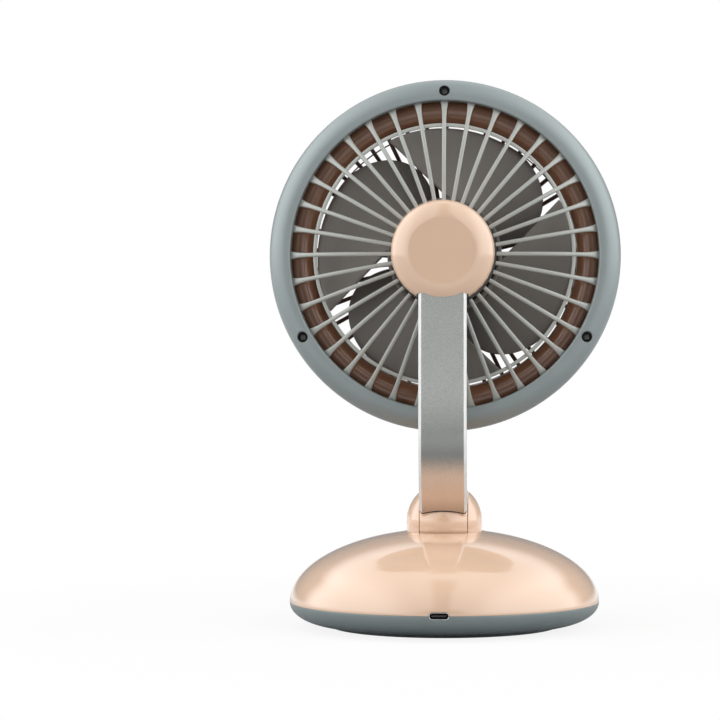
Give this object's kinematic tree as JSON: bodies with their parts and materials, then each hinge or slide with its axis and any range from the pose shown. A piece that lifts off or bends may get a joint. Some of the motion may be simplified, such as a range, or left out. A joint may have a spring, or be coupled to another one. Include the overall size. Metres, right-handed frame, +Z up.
{
  "type": "rechargeable table fan",
  "caption": "Round fan head with a radial-spoke rear guard on a slim bent arm, which stands on a ball turret in the top of a domed battery base.",
  "frame": {"origin": "on the table, under the axis of the round base", "axes": "+Z up, air leaves towards -Y, +Y is the rear with the arm and the charging port, +X is the fan's left as seen from behind it"},
  "size_m": [0.165, 0.1439, 0.2555],
  "materials": {
    "peach_gloss": "gloss",
    "brown_gloss": "gloss",
    "lower_satin": "satin",
    "grille_satin": "satin",
    "arm_silver": "satin",
    "blade_satin": "satin",
    "foot_rubber": "matte",
    "steel": "satin",
    "black_screw": "satin",
    "dark_plastic": "satin",
    "friction_pad": "matte",
    "cell_wrap": "satin",
    "board_green": "satin",
    "copper": "satin",
    "magnet": "matte",
    "lens_clear": "gloss"
  },
  "bodies": {
    "base": {"base_top_shell": "peach_gloss", "base_bottom_shell": "lower_satin", "foot_pad": "foot_rubber", "ballast_plate": "steel", "battery_trays": "dark_plastic", "battery_cells": "cell_wrap", "control_board": "board_green", "board_parts": "dark_plastic", "usb_port": "steel", "button_board": "board_green", "button_switch": "dark_plastic", "indicator_lenses": "lens_clear", "base_screws": "steel", "bearing_plate": "steel", "bearing_plate_screws": "black_screw", "swivel_stop_pin": "steel"},
    "button": {"power_button": "grille_satin"},
    "turret": {"turret_shell": "peach_gloss", "turret_nut": "steel", "lower_hinge_pin": "steel", "lower_friction_discs": "friction_pad", "turret_side_caps": "peach_gloss"},
    "arm": {"lower_knuckle": "peach_gloss", "arm_rear_shell": "arm_silver", "arm_front_cover": "arm_silver", "arm_spine": "steel", "arm_lead": "dark_plastic", "upper_knuckle": "dark_plastic", "knuckle_screws": "steel"},
    "head": {"rear_grille": "grille_satin", "hub_cap": "peach_gloss", "frame_screws": "black_screw", "hinge_bracket": "steel", "upper_hinge_pin": "steel", "upper_washers": "friction_pad", "bracket_screws": "black_screw", "shroud_ring": "brown_gloss", "front_shell": "peach_gloss", "front_grille": "brown_gloss", "front_badge": "grille_satin", "motor_base": "dark_plastic", "motor_board": "board_green", "stator_core": "steel", "stator_coils": "copper", "motor_bearings": "steel"},
    "impeller_unit": {"impeller": "blade_satin", "rotor_cup": "steel", "rotor_magnet": "magnet", "motor_shaft": "steel", "impeller_nut": "black_screw", "shaft_clip": "black_screw"}
  },
  "joints": [
    {"name": "turret_swivel", "type": "hinge", "parent": "base", "child": "turret", "pos_m": [0, 0, 0.049], "axis": [0, 0, 1], "range_deg": [-45, 45]},
    {"name": "arm_tilt", "type": "hinge", "parent": "turret", "child": "arm", "pos_m": [0, 0, 0.049], "axis": [1, 0, 0], "range_deg": [-25, 30]},
    {"name": "head_tilt", "type": "hinge", "parent": "arm", "child": "head", "pos_m": [0, 0.017, 0.173], "axis": [1, 0, 0], "range_deg": [0, 14]},
    {"name": "impeller_spin", "type": "hinge", "parent": "head", "child": "impeller_unit", "pos_m": [0, 0, 0.173], "axis": [0, 1, 0], "continuous": true},
    {"name": "power_button_press", "type": "slide", "parent": "base", "child": "button", "axis": [0, 0.35, -0.9367], "range_m": [0, 0.0008], "stiffness_N_per_m": 1500, "springref_m": -0.0004}
  ]
}
